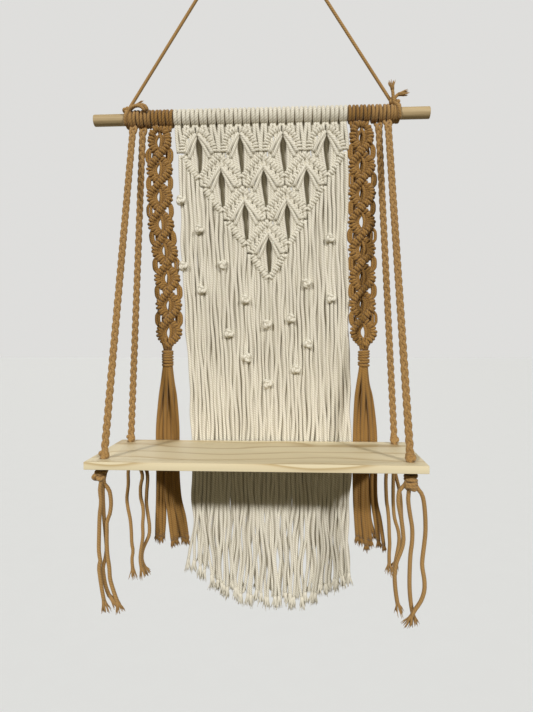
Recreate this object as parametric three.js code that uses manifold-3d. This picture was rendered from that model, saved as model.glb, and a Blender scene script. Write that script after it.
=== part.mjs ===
// Macrame wall shelf, in millimetres, +Z up.
// The origin is the hang point: the middle of the hanger cord at the top of its bend.
// +Y points to the wall. The front faces -Y, and the shelf board reaches out towards -Y.

import * as THREE from 'three';
import { mergeVertices } from 'three/addons/utils/BufferGeometryUtils.js';
import Module from 'manifold-3d';

const wasm = await Module();
wasm.setup();

// Cord
const CORD_RADIUS = 2.2;
const CLEARANCE = 0.3;

// Dowel
const DOWEL_RADIUS = 7;
const DOWEL_LENGTH = 405;
const DOWEL_X = -1;
const DOWEL_Y = -6;
const DOWEL_Z = -260;

// Wraps of cord on the dowel, from the middle outwards
const WRAP_BORE = 8;
const WRAP_RADIUS = 10.6;
const WRAP_GROOVE = 9.5;
const ROOT_Z = DOWEL_Z - 7.5;
const PANEL_HALF_WIDTH = 104.6;
const BAND_SLEEVE = 26.8;
const ROPE_SLEEVE = 13.2;
const TIE_SLEEVE = 9.6;

// Shelf board
const BOARD_X = 1;
const BOARD_LENGTH = 350;
const BOARD_DEPTH = 124;
const BOARD_THICKNESS = 8;
const BOARD_REAR_Y = -4;
const BOARD_TOP_Z = -653.6;
const BOARD_EASE = 1.5;
const HOLE_RADIUS = 4.9;
const HOLE_X = 160;
const HOLE_FRONT_Y = -108.5;
const HOLE_REAR_Y = -15.5;

// White panel
const STRANDS = 40;
const STRAND_PITCH = (2 * PANEL_HALF_WIDTH) / STRANDS;
const NET_Y = -9;
const NET_TOP = -272.5;
const ROWS = 4;
const ROW_PITCH = 40.2;
const DIAMOND_HALF = PANEL_HALF_WIDTH / ROWS;
const DIAMOND_APEX = 5.5;
const DIAMOND_SIDE = 33;
const DIAMOND_BOTTOM = 62;
const CORNER_INSET = 3;
const EDGE_INSET = 6;
const SLOT_HALF = 4.8;
const BAR_RIDGE = 4.3;
const BAR_GROOVE = 3.4;
const FRINGE_Y = 0.9;
const FRINGE_LOWEST = -866;
const FRINGE_LOWEST_X = 18;
const FRINGE_ARC = 34 / (93 * 93);
// Slow waves in the hanging strands: their size, their length and each strand's lag on the last
const SWAY = { size: 0.4, length: 31, lag: 0.9 };
const TIP_SWAY = { size: 1.6, length: 34, lag: 0.38 };
const TIP_DEPTH_SWAY = { size: 0.8, length: 25, lag: 1.9 };
const KNOT_RADIUS = 5;

// Side bands
const BAND_TOP = -272.5;
const BAND_DIAMONDS = 8;
const BAND_PITCH = 33;
const BAND_REACH = 10.4;
const BAND_RIDGE = 3.6;
const BAND_GROOVE = 2.8;
const BAND_Y = -9;

// Gathering wraps and tassels
const BUNDLE_RADIUS = 5.4;
const GATHER_RADIUS = 7.4;
const GATHER_LENGTH = 20;
const GATHER_TOP = BAND_TOP - BAND_DIAMONDS * BAND_PITCH - 5;
const GATHER_Y = -7;

// Ropes
const ROPE_WIDE = 4.4;
const ROPE_NARROW = 3.6;
const ROPE_PLAIT = 22;
const ROPE_KNOT = 7.4;
const TAIL_RADIUS = 2.3;

// Hanger
const HANGER_RADIUS = 2.1;
const HANGER_X = 160;
const HANGER_Z = -249;

// How far the panel has settled to the right at each height: along its left edge, its middle
// and its right edge
const SETTLING = [
	{ z: -272, left: 0, middle: 0, right: 0 }, { z: -300, left: 5, middle: 1, right: 0.5 },
	{ z: -335, left: 5, middle: 4, right: 2 }, { z: -385, left: 7, middle: 8.3, right: 0.8 },
	{ z: -425, left: 8, middle: 10.5, right: 1 }, { z: -460, left: 9, middle: 10.5, right: 2.5 },
	{ z: -640, left: 17, middle: 12, right: 7 },
];

// The sixteen single knots on the hanging strands, as they lie across the panel
const KNOTS = [
	{ x: -100, z: -360 }, { x: -76, z: -395 }, { x: -93, z: -439 }, { x: -46, z: -438 },
	{ x: -74, z: -468 }, { x: -19, z: -480 }, { x: -41, z: -521 }, { x: -15, z: -551 },
	{ x: 9, z: -510 }, { x: 39, z: -503 }, { x: 10, z: -583 }, { x: 45, z: -565 },
	{ x: 55, z: -461 }, { x: 56, z: -534 }, { x: 85, z: -408 }, { x: 86, z: -479 },
];

// The middle line of each side band as it hangs, a row for each bend
const BAND_LINES = {
	left: [
		{ z: -272, x: -122 }, { z: -350, x: -123 }, { z: -392, x: -121 }, { z: -430, x: -115.5 },
		{ z: -480, x: -112.5 }, { z: -520, x: -112 }, { z: -560, x: -117 },
	],
	right: [
		{ z: -272, x: 121 }, { z: -350, x: 122 }, { z: -392, x: 122 }, { z: -430, x: 122.5 },
		{ z: -480, x: 123 }, { z: -520, x: 124.5 }, { z: -560, x: 126 },
	],
};

// Tassel strands: x beside the board and at the tip, and the height of the tip
const TASSELS = {
	left: [
		{ board: -130, tip: -132, end: -783 }, { board: -125, tip: -127, end: -786 },
		{ board: -120, tip: -112, end: -790 }, { board: -115, tip: -107, end: -789 },
		{ board: -110, tip: -99, end: -786 }, { board: -105, tip: -94, end: -782 },
	],
	right: [
		{ board: 115, tip: 119, end: -780 }, { board: 120, tip: 124, end: -783 },
		{ board: 125, tip: 130, end: -791 }, { board: 130, tip: 136, end: -786 },
		{ board: 135, tip: 145, end: -785 }, { board: 140, tip: 152, end: -791 },
	],
};

// Ropes: where each leaves its sleeve and its hole, then its tails as offsets from the hole
// (x sideways, y in depth) at heights below the board
const ROPES = [
	{
		name: 'rope_front_left', side: -1, front: true, top: [-153.5, -12],
		tails: [
			[[-4, -2, -30], [-6, -3, -70], [-5, -3, -110], [-2, -3, -165]],
			[[-1, 4, -30], [-3, 3, -70], [-2, 4, -110], [5, 3, -160]],
			[[6, 0, -30], [3, 0, -68], [4, 0, -130], [16, 0, -168]],
		],
	},
	{
		name: 'rope_rear_left', side: -1, front: false, top: [-141, -9],
		tails: [
			[[-5, 0, -34], [-2, -2, -80], [-1, -2, -120], [2, -1, -166]],
			[[12, -3, -34], [17, -3, -85], [14, -3, -115], [10, -2, -160]],
			[[17, 2, -34], [20, 2, -80], [16, 2, -115], [16, 3, -160]],
		],
	},
	{
		name: 'rope_rear_right', side: 1, front: false, top: [141, -9],
		tails: [
			[[-8, 0, -34], [-4, 0, -85], [-4, 0, -115], [-6, 0, -150]],
			[[0, -3, -34], [4, -3, -95], [5, -3, -140], [8, -3, -202]],
			[[2, 4, -34], [8, 3, -90], [9, 3, -130], [6, 3, -170]],
		],
	},
	{
		name: 'rope_front_right', side: 1, front: true, top: [151.5, -12],
		tails: [
			[[-9, 0, -34], [-7, 0, -70], [-11, 0, -105], [-9, 0, -165]],
			[[0, 2, -34], [4, 2, -75], [3, 2, -125], [8, 1, -171]],
			[[14, -2, -34], [15, -2, -85], [16, -2, -120], [-1, -5, -169]],
		],
	},
];

// Cords at the ends of the hanger: a slack loop on the left, two short ends on the right
const HANGER_ENDS = {
	left: [
		[[-162, -12, -249], [-155, -15, -241], [-146, -16, -239], [-139, -17, -245], [-136, -17.5, -253]],
	],
	right: [
		[[161, -12, -249], [156, -14, -238], [150, -14, -227]],
		[[163, -10, -249], [167, -11, -243], [171, -11, -239]],
	],
};

// Colours
const WHITE_CORD = new THREE.MeshStandardMaterial({ color: 0xe3ddd0, roughness: 0.95, metalness: 0 });
const TAN_CORD = new THREE.MeshStandardMaterial({ color: 0xb07c48, roughness: 0.95, metalness: 0 });
const DOWEL_WOOD = new THREE.MeshStandardMaterial({ color: 0xb8a17a, roughness: 0.7, metalness: 0 });
const BOARD_WOOD = new THREE.MeshStandardMaterial({ color: 0xdcc9a0, roughness: 0.6, metalness: 0 });

function vector(x, y, z) {
	return new THREE.Vector3(x, y, z);
}

// Solids

// Welds a closed geometry, drops its empty triangles and turns its faces outwards.
function toSolid(geometry) {
	const bare = geometry.clone();
	bare.deleteAttribute('normal');
	bare.deleteAttribute('uv');
	const welded = mergeVertices(bare, 1e-4);
	const { array } = welded.attributes.position;
	const source = welded.index.array;
	const corner = (i) => vector(array[3 * i], array[3 * i + 1], array[3 * i + 2]);
	const faces = [];
	let volume = 0;
	for (let i = 0; i < source.length; i += 3) {
		const [a, b, c] = source.slice(i, i + 3);
		if (a === b || b === c || c === a) continue;
		faces.push([a, b, c]);
		volume += corner(a).dot(corner(b).cross(corner(c)));
	}
	if (volume < 0) faces.forEach((face) => face.reverse());
	return new wasm.Manifold(new wasm.Mesh({
		numProp: 3,
		vertProperties: Float32Array.from(array),
		triVerts: Uint32Array.from(faces.flat()),
	}));
}

// Joins solids in pairs, so that no join works on more than it needs.
function fuse(solids) {
	let rest = solids;
	while (rest.length > 1) {
		const joined = [];
		for (let i = 0; i < rest.length; i += 2) {
			joined.push(i + 1 < rest.length ? rest[i].add(rest[i + 1]) : rest[i]);
		}
		rest = joined;
	}
	return rest[0];
}

function toGeometry(solid) {
	const { vertProperties, triVerts } = solid.getMesh();
	const geometry = new THREE.BufferGeometry();
	geometry.setAttribute('position', new THREE.BufferAttribute(vertProperties, 3));
	geometry.setIndex(new THREE.BufferAttribute(triVerts, 1));
	geometry.computeVertexNormals();
	return geometry;
}

// A closed bar along a curve. radiusAt(step) is its half thickness at each step.
function swept(curve, radiusAt, sides, steps) {
	const geometry = new THREE.CylinderGeometry(1, 1, 1, sides, steps);
	const frames = curve.computeFrenetFrames(steps, false);
	const { position } = geometry.attributes;
	const point = new THREE.Vector3();
	for (let i = 0; i < position.count; i++) {
		const step = Math.round((position.getY(i) + 0.5) * steps);
		const radius = radiusAt(step);
		curve.getPointAt(step / steps, point);
		point.addScaledVector(frames.normals[step], position.getX(i) * radius);
		point.addScaledVector(frames.binormals[step], position.getZ(i) * radius);
		position.setXYZ(i, point.x, point.y, point.z);
	}
	return toSolid(geometry);
}

function strand(points, radius, steps, sides = 3) {
	const curve = points.length > 2
		? new THREE.CatmullRomCurve3(points)
		: new THREE.LineCurve3(points[0], points[1]);
	return swept(curve, () => radius, sides, steps);
}

// A closed loop of wrapped knots: its half thickness goes up and down once for each ridge.
function ridgedLoop(points, ridge, groove, ridges) {
	const steps = 2 * ridges;
	const sides = 4;
	const curve = new THREE.CatmullRomCurve3(points, true);
	const frames = curve.computeFrenetFrames(steps, true);
	const geometry = new THREE.TorusGeometry(2, 1, sides, steps);
	const { position } = geometry.attributes;
	const point = new THREE.Vector3();
	for (let i = 0; i < position.count; i++) {
		const column = i % (steps + 1);
		const step = column % steps;
		const around = (2 * Math.PI * Math.floor(i / (steps + 1))) / sides;
		const radius = step % 2 ? ridge : groove;
		curve.getPointAt(step / steps, point);
		point.addScaledVector(frames.normals[step], Math.cos(around) * radius);
		point.addScaledVector(frames.binormals[step], Math.sin(around) * radius);
		position.setXYZ(i, point.x, point.y, point.z);
	}
	return toSolid(geometry);
}

// A sleeve of wraps between two heights of its own axis, with a bore through it.
function ridgedSleeve(from, to, wraps, bore, groove, ridge, sides) {
	const profile = [new THREE.Vector2(bore, from)];
	const pitch = (to - from) / wraps;
	for (let i = 0; i < wraps; i++) {
		profile.push(new THREE.Vector2(groove, from + i * pitch));
		profile.push(new THREE.Vector2(ridge, from + (i + 0.5) * pitch));
	}
	profile.push(new THREE.Vector2(groove, to), new THREE.Vector2(bore, to), new THREE.Vector2(bore, from));
	return new THREE.LatheGeometry(profile, sides);
}

function sleeveOnDowel(from, to, wraps) {
	const geometry = ridgedSleeve(from, to, wraps, WRAP_BORE, WRAP_GROOVE, WRAP_RADIUS, 8);
	geometry.rotateZ(-Math.PI / 2);
	geometry.translate(0, DOWEL_Y, DOWEL_Z);
	return toSolid(geometry);
}

// A round knot about a centre.
function knot(centre, radius, height) {
	const profile = [[0, -1], [1, -0.45], [1, 0.45], [0, 1]]
		.map(([r, h]) => new THREE.Vector2(r * radius, h * height));
	const geometry = new THREE.LatheGeometry(profile, 5);
	geometry.rotateX(Math.PI / 2);
	geometry.translate(centre.x, centre.y, centre.z);
	return toSolid(geometry);
}

// Dowel and board

function dowel() {
	const geometry = new THREE.CylinderGeometry(DOWEL_RADIUS, DOWEL_RADIUS, DOWEL_LENGTH, 24);
	geometry.rotateZ(Math.PI / 2);
	geometry.translate(DOWEL_X, DOWEL_Y, DOWEL_Z);
	return toSolid(geometry);
}

function holeAt(side, front) {
	return vector(BOARD_X + side * HOLE_X, front ? HOLE_FRONT_Y : HOLE_REAR_Y, BOARD_TOP_Z);
}

function board() {
	const half = BOARD_DEPTH / 2;
	const low = -BOARD_THICKNESS;
	const ease = BOARD_EASE;
	const section = new THREE.Shape();
	section.absarc(half - ease, -ease, ease, Math.PI / 2, 0, true);
	section.absarc(half - ease, low + ease, ease, 0, -Math.PI / 2, true);
	section.absarc(-half + ease, low + ease, ease, -Math.PI / 2, -Math.PI, true);
	section.absarc(-half + ease, -ease, ease, Math.PI, Math.PI / 2, true);
	const geometry = new THREE.ExtrudeGeometry(section, {
		depth: BOARD_LENGTH, bevelEnabled: false, curveSegments: 2,
	});
	// The section's x becomes depth, its y becomes height and its length runs along X.
	geometry.translate(0, 0, -BOARD_LENGTH / 2);
	geometry.rotateX(Math.PI / 2);
	geometry.rotateZ(Math.PI / 2);
	geometry.translate(BOARD_X, BOARD_REAR_Y - half, BOARD_TOP_Z);
	let solid = toSolid(geometry);
	for (const side of [-1, 1]) {
		for (const front of [true, false]) {
			const centre = holeAt(side, front);
			const drill = new THREE.CylinderGeometry(HOLE_RADIUS, HOLE_RADIUS, 3 * BOARD_THICKNESS, 8);
			drill.rotateX(Math.PI / 2);
			drill.translate(centre.x, centre.y, centre.z);
			solid = solid.subtract(toSolid(drill));
		}
	}
	return solid;
}

// White panel

function strandTopX(i) {
	return (i + 0.5 - STRANDS / 2) * STRAND_PITCH;
}

// The height at which strand i leaves the lower edge of the net, which steps down to the middle.
function hemZ(x) {
	const across = (PANEL_HALF_WIDTH - Math.abs(x)) / DIAMOND_HALF;
	const row = Math.min(Math.floor(across), ROWS - 1);
	const fall = DIAMOND_BOTTOM - DIAMOND_SIDE;
	return NET_TOP - DIAMOND_SIDE - row * ROW_PITCH - (across - row) * fall;
}

// The height of the tip of a strand that hangs at x: the fringe ends in a shallow arc.
function tipZ(x) {
	return FRINGE_LOWEST + FRINGE_ARC * (x - FRINGE_LOWEST_X) ** 2;
}

function wave({ size, length, lag }, i, z) {
	return size * Math.sin(lag * i + z / length);
}

// Where the panel's point that starts at x on the dowel is at a height.
function settledX(x, z) {
	let i = 0;
	while (i < SETTLING.length - 2 && z < SETTLING[i + 1].z) i++;
	const [upper, lower] = [SETTLING[i], SETTLING[i + 1]];
	const share = THREE.MathUtils.clamp((z - upper.z) / (lower.z - upper.z), 0, 1);
	const shiftOf = (part) => THREE.MathUtils.lerp(upper[part], lower[part], share);
	const across = Math.min(Math.abs(x) / PANEL_HALF_WIDTH, 1);
	return x + THREE.MathUtils.lerp(shiftOf('middle'), shiftOf(x < 0 ? 'left' : 'right'), across);
}

// Where strand i is at a height: the fringe swings in slow waves that neighbours share, and goes
// back behind the board's rear edge.
function strandAt(i, z) {
	const drift = THREE.MathUtils.smoothstep(-z, 340, 640);
	const back = THREE.MathUtils.smoothstep(-z, 400, 630);
	const below = THREE.MathUtils.smoothstep(-z, 665, 760);
	const x = settledX(strandTopX(i), z) + drift * wave(SWAY, i, z) + below * wave(TIP_SWAY, i, z);
	const y = THREE.MathUtils.lerp(NET_Y, FRINGE_Y, back) + below * wave(TIP_DEPTH_SWAY, i, z);
	return vector(x, y, z);
}

function hangingStrand(i) {
	const from = hemZ(strandTopX(i));
	const to = tipZ(strandAt(i, FRINGE_LOWEST).x);
	const count = 5;
	const points = [];
	for (let step = 0; step <= count; step++) {
		points.push(strandAt(i, THREE.MathUtils.lerp(from, to, step / count)));
	}
	return strand(points, CORD_RADIUS, count);
}

function netPoint(x, z) {
	return vector(settledX(x, z), NET_Y, z);
}

// One diamond: a loop of ridged bars, and the two innermost strands, which bow apart around a slot.
// left and right are how far it reaches to each side.
function diamond(x, top, left, right) {
	const fallAt = (share, end) => THREE.MathUtils.lerp(end, DIAMOND_SIDE, share);
	const outline = [
		netPoint(x, top - DIAMOND_APEX),
		netPoint(x + 0.5 * right, top - fallAt(0.5, DIAMOND_APEX)),
		netPoint(x + right, top - DIAMOND_SIDE),
		netPoint(x + 0.5 * right, top - fallAt(0.5, DIAMOND_BOTTOM)),
		netPoint(x, top - DIAMOND_BOTTOM),
		netPoint(x - 0.5 * left, top - fallAt(0.5, DIAMOND_BOTTOM)),
		netPoint(x - left, top - DIAMOND_SIDE),
		netPoint(x - 0.5 * left, top - fallAt(0.5, DIAMOND_APEX)),
	];
	const solids = [ridgedLoop(outline, BAR_RIDGE, BAR_GROOVE, 8)];
	for (const side of [-1, 1]) {
		const edge = [
			netPoint(x + side * 2, top - 1.5 * DIAMOND_APEX),
			netPoint(x + side * SLOT_HALF, top - DIAMOND_SIDE),
			netPoint(x + side * 2, top - DIAMOND_BOTTOM + 5),
		];
		solids.push(strand(edge, CORD_RADIUS, 2));
	}
	return solids;
}

function panel() {
	const solids = [sleeveOnDowel(-PANEL_HALF_WIDTH, PANEL_HALF_WIDTH, STRANDS / 2)];
	for (let row = 0; row < ROWS; row++) {
		const count = ROWS - row;
		for (let i = 0; i < count; i++) {
			const x = (2 * i - count + 1) * DIAMOND_HALF;
			const left = DIAMOND_HALF - (i === 0 && row > 0 ? EDGE_INSET : CORNER_INSET);
			const right = DIAMOND_HALF - (i === count - 1 && row > 0 ? EDGE_INSET : CORNER_INSET);
			solids.push(...diamond(x, NET_TOP - row * ROW_PITCH, left, right));
		}
	}
	// Strands run from the wraps to the upper bars of the first row.
	const drops = [-0.8, 0, 0.8];
	for (let i = 0; i < ROWS; i++) {
		for (const share of drops) {
			const x = (2 * i - ROWS + 1 + share) * DIAMOND_HALF;
			const bar = NET_TOP - THREE.MathUtils.lerp(DIAMOND_APEX, DIAMOND_SIDE, Math.abs(share));
			solids.push(strand([netPoint(x, ROOT_Z), netPoint(x, bar)], CORD_RADIUS, 1));
		}
	}
	for (let i = 0; i < STRANDS; i++) solids.push(hangingStrand(i));
	for (const { x, z } of KNOTS) {
		let nearest = strandAt(0, z);
		for (let i = 1; i < STRANDS; i++) {
			const place = strandAt(i, z);
			if (Math.abs(place.x - x) < Math.abs(nearest.x - x)) nearest = place;
		}
		nearest.y -= 1.5;
		solids.push(knot(nearest, KNOT_RADIUS, KNOT_RADIUS + 0.4));
	}
	return fuse(solids);
}

// Side bands, gathering wraps and tassels

function bandCentre(side, z) {
	const line = BAND_LINES[side];
	let i = 0;
	while (i < line.length - 2 && z < line[i + 1].z) i++;
	const share = THREE.MathUtils.clamp((z - line[i].z) / (line[i + 1].z - line[i].z), 0, 1);
	return THREE.MathUtils.lerp(line[i].x, line[i + 1].x, share);
}

function bandPoint(side, across, z) {
	return vector(bandCentre(side, z) + across, BAND_Y, z);
}

function band(side) {
	const sign = side === 'left' ? -1 : 1;
	const inner = PANEL_HALF_WIDTH + CLEARANCE;
	const outer = inner + BAND_SLEEVE;
	const [from, to] = sign > 0 ? [inner, outer] : [-outer, -inner];
	const solids = [sleeveOnDowel(from, to, 3)];
	// A chain of small ridged diamonds hangs from the wraps.
	for (let i = 0; i < BAND_DIAMONDS; i++) {
		const top = BAND_TOP - i * BAND_PITCH;
		const outline = [
			bandPoint(side, 0, top - 1), bandPoint(side, BAND_REACH, top - BAND_PITCH / 2),
			bandPoint(side, 0, top - BAND_PITCH + 1), bandPoint(side, -BAND_REACH, top - BAND_PITCH / 2),
		];
		solids.push(ridgedLoop(outline, BAND_RIDGE, BAND_GROOVE, 4));
	}
	// The outermost strand on each side spans the gaps between the diamonds.
	for (const edge of [-1, 1]) {
		const points = [vector((from + to) / 2 + edge * 0.4 * BAND_SLEEVE, BAND_Y, ROOT_Z)];
		for (let i = 0; i < BAND_DIAMONDS; i++) {
			points.push(bandPoint(side, edge * (BAND_REACH + 1), BAND_TOP - (i + 0.5) * BAND_PITCH));
		}
		solids.push(strand(points, CORD_RADIUS, BAND_DIAMONDS + 1));
	}
	// The strands come together just above the gathering wrap.
	const x = bandCentre(side, GATHER_TOP);
	const neck = [vector(x, GATHER_Y, GATHER_TOP + 8), vector(x, GATHER_Y, GATHER_TOP + CLEARANCE)];
	solids.push(strand(neck, BUNDLE_RADIUS, 1, 8));
	return fuse(solids);
}

function gatheringWrap(side) {
	const bore = BUNDLE_RADIUS + 2 * CLEARANCE;
	const geometry = ridgedSleeve(-GATHER_LENGTH, 0, 3, bore, GATHER_RADIUS - 0.8, GATHER_RADIUS, 8);
	geometry.rotateX(Math.PI / 2);
	geometry.translate(bandCentre(side, GATHER_TOP), GATHER_Y, GATHER_TOP);
	return toSolid(geometry);
}

function tassel(side) {
	const x = bandCentre(side, GATHER_TOP);
	const top = GATHER_TOP - CLEARANCE;
	const bottom = top - GATHER_LENGTH - 4;
	const solids = [strand([vector(x, GATHER_Y, top), vector(x, GATHER_Y, bottom)], BUNDLE_RADIUS, 1, 8)];
	TASSELS[side].forEach(({ board: beside, tip, end }, i) => {
		const root = (i - 2.5) * 1.5;
		const layer = i % 2 ? 2 : -2;
		const points = [
			vector(x + root, GATHER_Y + layer, bottom + 1.5),
			vector(x + 1.9 * root, GATHER_Y + layer, bottom - 22),
			vector(beside, FRINGE_Y, BOARD_TOP_Z + 12),
			vector(beside, FRINGE_Y, BOARD_TOP_Z - 30),
			vector(THREE.MathUtils.lerp(beside, tip, 0.35), FRINGE_Y, BOARD_TOP_Z - 80),
			vector(tip, FRINGE_Y, end),
		];
		solids.push(strand(points, TAIL_RADIUS, 6));
	});
	return fuse(solids);
}

// Ropes

// A plait of three cords, which swells and narrows along its length.
function plait(from, to) {
	const steps = Math.round(from.distanceTo(to) / ROPE_PLAIT) * 2;
	return swept(new THREE.LineCurve3(from, to), (step) => (step % 2 ? ROPE_WIDE : ROPE_NARROW), 4, steps);
}

function rope({ side, front, top, tails }) {
	const inner = PANEL_HALF_WIDTH + BAND_SLEEVE + 2 * CLEARANCE + (front ? ROPE_SLEEVE + CLEARANCE : 0);
	const outer = inner + ROPE_SLEEVE;
	const [from, to] = side > 0 ? [inner, outer] : [-outer, -inner];
	const hole = holeAt(side, front);
	const start = vector(top[0], top[1], ROOT_Z);
	const knotHeight = 0.7 * ROPE_KNOT;
	const upper = vector(hole.x, hole.y, BOARD_TOP_Z + CLEARANCE + knotHeight);
	const lower = vector(hole.x, hole.y, BOARD_TOP_Z - BOARD_THICKNESS - CLEARANCE - knotHeight);
	const solids = [
		sleeveOnDowel(from, to, 3),
		plait(start, upper),
		knot(upper, ROPE_KNOT, knotHeight),
		strand([upper, lower], HOLE_RADIUS - 1.3 * CLEARANCE, 1, 8),
		knot(lower, ROPE_KNOT, knotHeight),
	];
	for (const tail of tails) {
		const points = [vector(hole.x, hole.y, lower.z)];
		for (const [x, y, z] of tail) points.push(vector(hole.x + x, hole.y + y, BOARD_TOP_Z + z));
		solids.push(strand(points, TAIL_RADIUS, 5));
	}
	return fuse(solids);
}

// Hanger

function hanger() {
	const bend = [vector(-6, 0, -9), vector(-2.5, 0, -2.8), vector(2.5, 0, -2.8), vector(6, 0, -9)];
	const solids = [strand(bend, HANGER_RADIUS, 5, 5)];
	for (const side of [-1, 1]) {
		const foot = vector(side * HANGER_X, DOWEL_Y, HANGER_Z);
		solids.push(strand([vector(side * 5.5, 0, -8.2), foot], HANGER_RADIUS, 1, 5));
	}
	const inner = PANEL_HALF_WIDTH + BAND_SLEEVE + 2 * ROPE_SLEEVE + 4 * CLEARANCE;
	const outer = inner + TIE_SLEEVE;
	for (const side of [-1, 1]) {
		const [from, to] = side > 0 ? [inner, outer] : [-outer, -inner];
		const middle = side * (inner + TIE_SLEEVE / 2);
		solids.push(sleeveOnDowel(from, to, 2));
		solids.push(knot(vector(middle, DOWEL_Y - 3, HANGER_Z + 1.2), 5, 4.4));
	}
	for (const ends of Object.values(HANGER_ENDS)) {
		for (const end of ends) {
			solids.push(strand(end.map((p) => vector(...p)), CORD_RADIUS - 0.4, end.length, 3));
		}
	}
	return fuse(solids);
}

// The whole object

const shelf = new THREE.Group();

function addPiece(name, solid, material) {
	const mesh = new THREE.Mesh(toGeometry(solid), material);
	mesh.name = name;
	shelf.add(mesh);
}

addPiece('dowel', dowel(), DOWEL_WOOD);
addPiece('board', board(), BOARD_WOOD);
addPiece('panel', panel(), WHITE_CORD);
for (const side of ['left', 'right']) {
	addPiece(`band_${side}`, band(side), TAN_CORD);
	addPiece(`gathering_wrap_${side}`, gatheringWrap(side), TAN_CORD);
	addPiece(`tassel_${side}`, tassel(side), TAN_CORD);
}
for (const entry of ROPES) addPiece(entry.name, rope(entry), TAN_CORD);
addPiece('hanger', hanger(), TAN_CORD);

export default shelf;
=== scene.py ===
import random
from math import ceil, cos, floor, pi, radians, sin

import bmesh
import bpy
from mathutils import Matrix, Vector


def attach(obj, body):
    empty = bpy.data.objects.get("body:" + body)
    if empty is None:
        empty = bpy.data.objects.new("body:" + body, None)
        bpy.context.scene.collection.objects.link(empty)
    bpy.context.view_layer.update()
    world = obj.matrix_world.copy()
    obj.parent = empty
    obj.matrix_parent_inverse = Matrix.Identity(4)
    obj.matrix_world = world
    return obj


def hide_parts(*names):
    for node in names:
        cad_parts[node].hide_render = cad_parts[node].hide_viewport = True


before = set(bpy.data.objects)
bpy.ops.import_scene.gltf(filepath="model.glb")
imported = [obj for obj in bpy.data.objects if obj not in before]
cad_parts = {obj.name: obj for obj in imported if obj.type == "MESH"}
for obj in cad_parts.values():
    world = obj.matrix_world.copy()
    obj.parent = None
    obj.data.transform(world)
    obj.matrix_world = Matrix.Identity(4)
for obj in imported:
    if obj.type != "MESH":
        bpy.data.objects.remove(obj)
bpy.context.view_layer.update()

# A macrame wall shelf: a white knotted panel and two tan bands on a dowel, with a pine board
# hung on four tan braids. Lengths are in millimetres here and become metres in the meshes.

MM = 0.001
chance = random.Random(11)
vary = chance.uniform
bpy.ops.object.select_all(action="DESELECT")

# Camera: its place in metres, its turn in degrees, its lens and film in millimetres
CAMERA_PLACE = (0.0453, -0.6701, -0.5258)
CAMERA_TURN = (88.02, 0.08, 3.26)
CAMERA_LENS = 27.49
CAMERA_FILM = 36

# Lamps: name, tilt, turn, strength and width, in degrees. Two soft keys shine from the front and
# above, and a broad weak one fills the back.
LAMPS = (("left_key", 62, -30, 1.88, 4), ("right_key", 63.8, 36, 1.88, 4), ("back_fill", -55, 12, 1.0, 60))
LAMP_COLOUR = (1.0, 0.99, 0.965)

# Light of the room, how pale it looks, and the floor far below, in metres
ROOM_LIGHT = (0.166, 0.147, 0.098, 1)
ROOM_PALE = (0.735, 0.73, 0.715, 1)
FLOOR_Z = -8.0
FLOOR_SIZE = 400
FLOOR_TONES = ((0.808, 0.834, 0.88, 1), (0.823, 0.85, 0.895, 1))

# Radius of each kind of cord, and how many sides it is made with
CORDS = {
    "bars": (1.7, 8), "leads": (2.0, 6), "rear_cords": (2.1, 8), "front_cords": (2.15, 8),
    "behind": (2.6, 6), "front_strands": (2.15, 8), "rear_strands": (2.6, 6), "band_cords": (1.9, 8),
    "tassel_cords": (2.5, 8), "plaits": (1.95, 8), "through": (2.0, 8), "tails": (2.2, 8),
    "hanger_line": (1.95, 10), "loose": (2.0, 8), "tie_ends": (1.9, 8), "plies": (0.95, 6),
    "fibres": (0.5, 6),
}

# Turns of cord that are copied: radius of the turn, radius of its cord, segments round and across
# it, and how thick it is along its axis
TURNS = {
    "wide_turn": (9.05, 2.0, 32, 8, 1.2), "tan_turn": (9.0, 1.98, 32, 8, 0.98),
    "white_hitch": (2.62, 1.84, 14, 6, 0.94), "tan_hitch": (2.85, 1.95, 14, 6, 1.06),
    "loop": (5.5, 1.9, 24, 8, 0.9), "collar": (5.2, 2.2, 20, 8, 0.95),
}

# How cut ends come apart: fibres beside the three plies, their length, and how far they fan out
TUFTS = {
    "front_tufts": (12, 14, 3.2), "rear_tufts": (6, 11, 2.6), "tassel_ends": (12, 10, 3.0),
    "tail_ends": (14, 12, 5.0), "tie_tips": (14, 9, 3.6),
}

# Dowel and its wraps. The two turns of a knot lean together below, by degrees.
DOWEL_RADIUS = 7.0
DOWEL_LENGTH = 405.0
DOWEL_X = -1.0
DOWEL_Y = -6.0
DOWEL_Z = -260.0
DOWEL_EASE = 0.7
ROOT_Z = DOWEL_Z - 7.5
PANEL_HALF_WIDTH = 104.6
BAND_SLEEVE = 26.8
ROPE_SLEEVE = 13.2
TIE_SLEEVE = 9.6
SLEEVE_GAP = 0.3
TURN_LEAN = -2.6

# Shelf board, and where the heart of its tree was
BOARD_X = 1.0
BOARD_LENGTH = 350.0
BOARD_DEPTH = 124.0
BOARD_THICKNESS = 8.0
BOARD_MIDDLE_Y = -66.0
BOARD_TOP_Z = -653.6
BOARD_EASE = 1.2
HOLE_RADIUS = 4.9
HOLE_X = 160.0
HOLE_FRONT_Y = -108.5
HOLE_REAR_Y = -15.5
HEART_Y = -30.0
HEART_BELOW = 115.0
RINGS_PER_METRE = 74

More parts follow.
